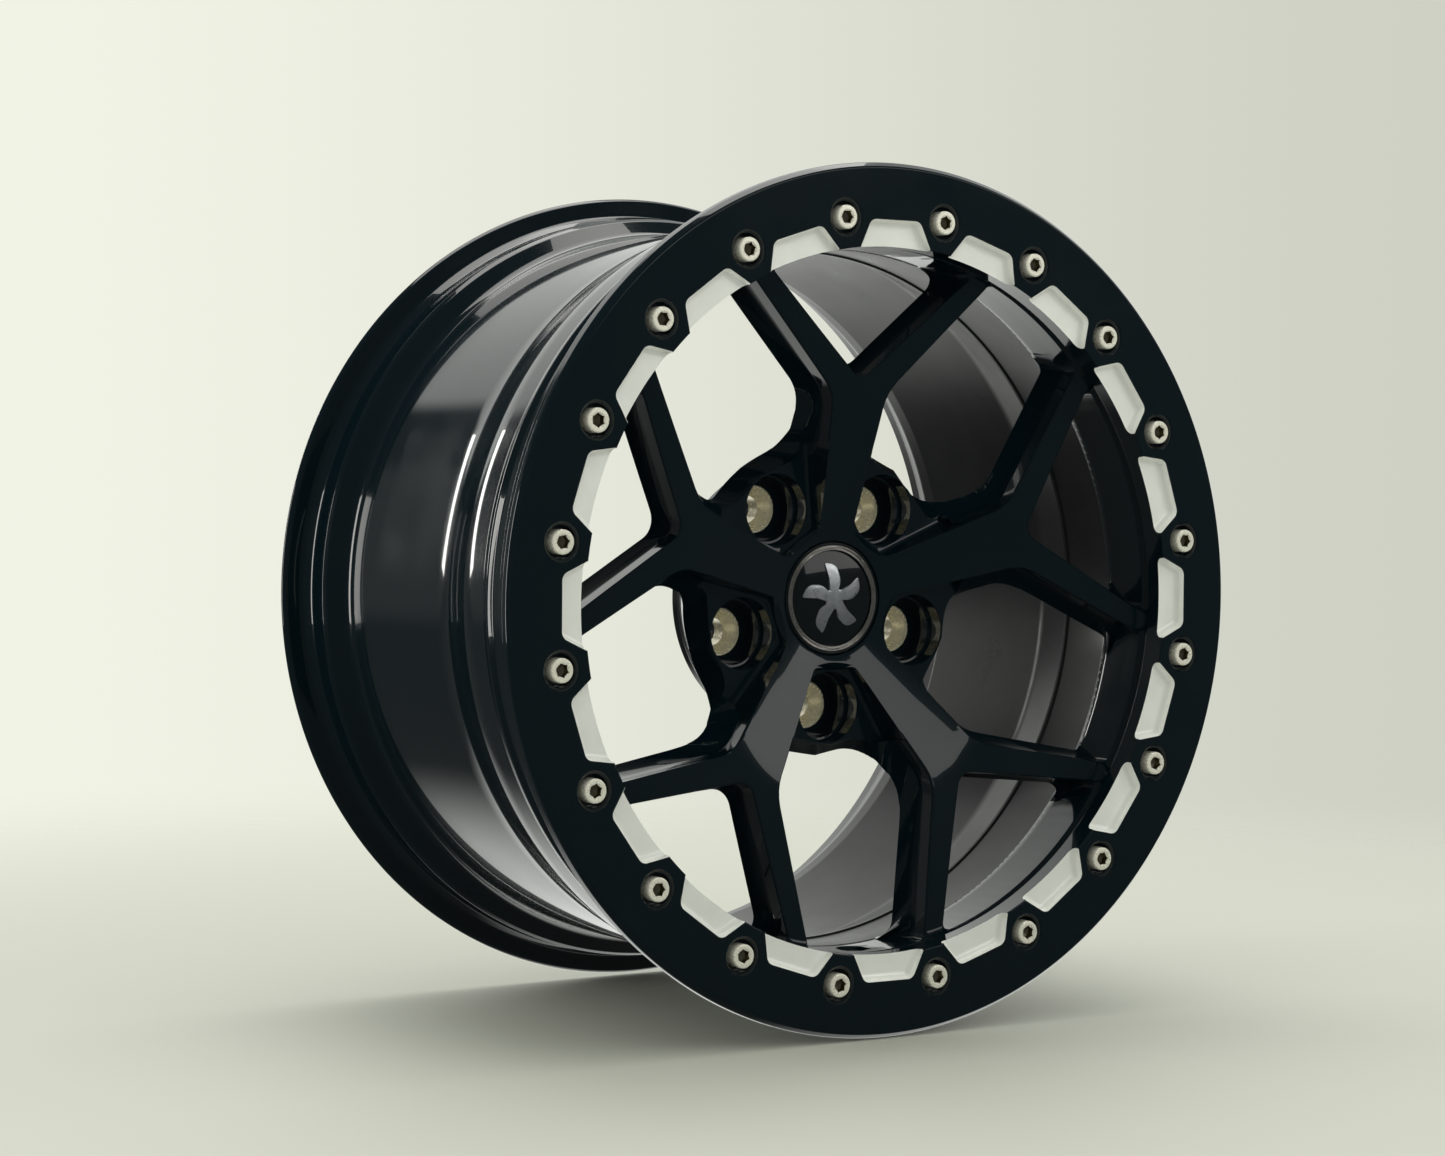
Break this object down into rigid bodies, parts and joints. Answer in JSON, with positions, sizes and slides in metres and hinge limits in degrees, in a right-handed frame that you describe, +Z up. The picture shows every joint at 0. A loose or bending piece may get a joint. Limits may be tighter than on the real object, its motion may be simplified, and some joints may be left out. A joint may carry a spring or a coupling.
{
  "type": "beadlock racing wheel",
  "caption": "Forged beadlock racing wheel with forked spokes, a bolt-on bead ring held by socket screws, steel lug seats and a snap-in centre cap.",
  "frame": {"origin": "centre of the whole wheel's box, on its spin axis, half way between the screw heads and the rear rim flange", "axes": "+Y along the spin axis towards the vehicle, the street side with the ring faces -Y, +Z up through the middle of one main spoke, +X to the right seen from the street side"},
  "size_m": [0.4682, 0.27, 0.4682],
  "materials": {
    "barrel_paint": "gloss black paint outside, satin black inside, over forged aluminium",
    "black_paint": "gloss black paint over forged aluminium",
    "ring_paint": "gloss black paint over machined aluminium, pockets left bright",
    "screw_steel": "stainless steel, turned heads",
    "seat_steel": "turned steel, bright",
    "cap_plastic": "gloss black plastic",
    "cap_chrome": "polished chrome",
    "cap_silver": "satin silver",
    "spring_wire": "spring steel wire"
  },
  "bodies": {
    "wheel": {"rim_barrel": "barrel_paint", "center_hub": "black_paint", "spoke_01": "black_paint", "spoke_02": "black_paint", "spoke_03": "black_paint", "spoke_04": "black_paint", "spoke_05": "black_paint", "lug_seat_01": "seat_steel", "lug_seat_02": "seat_steel", "lug_seat_03": "seat_steel", "lug_seat_04": "seat_steel", "lug_seat_05": "seat_steel"},
    "bead_ring": {"beadlock_ring": "ring_paint", "beadlock_screw_01": "screw_steel", "beadlock_screw_02": "screw_steel", "beadlock_screw_03": "screw_steel", "beadlock_screw_04": "screw_steel", "beadlock_screw_05": "screw_steel", "beadlock_screw_06": "screw_steel", "beadlock_screw_07": "screw_steel", "beadlock_screw_08": "screw_steel", "beadlock_screw_09": "screw_steel", "beadlock_screw_10": "screw_steel", "beadlock_screw_11": "screw_steel", "beadlock_screw_12": "screw_steel", "beadlock_screw_13": "screw_steel", "beadlock_screw_14": "screw_steel", "beadlock_screw_15": "screw_steel", "beadlock_screw_16": "screw_steel", "beadlock_screw_17": "screw_steel", "beadlock_screw_18": "screw_steel", "beadlock_screw_19": "screw_steel", "beadlock_screw_20": "screw_steel"},
    "center_cap": {"center_cap_body": "cap_plastic", "center_cap_trim_ring": "cap_chrome", "center_cap_badge": "cap_plastic", "center_cap_emblem": "cap_silver", "center_cap_spring_ring": "spring_wire"}
  },
  "joints": [
    {"name": "bead_ring_pull_off", "type": "slide", "parent": "wheel", "child": "bead_ring", "axis": [0, -1, 0], "range_m": [0, 0.06]},
    {"name": "center_cap_pull_off", "type": "slide", "parent": "wheel", "child": "center_cap", "axis": [0, -1, 0], "range_m": [0, 0.1]}
  ]
}
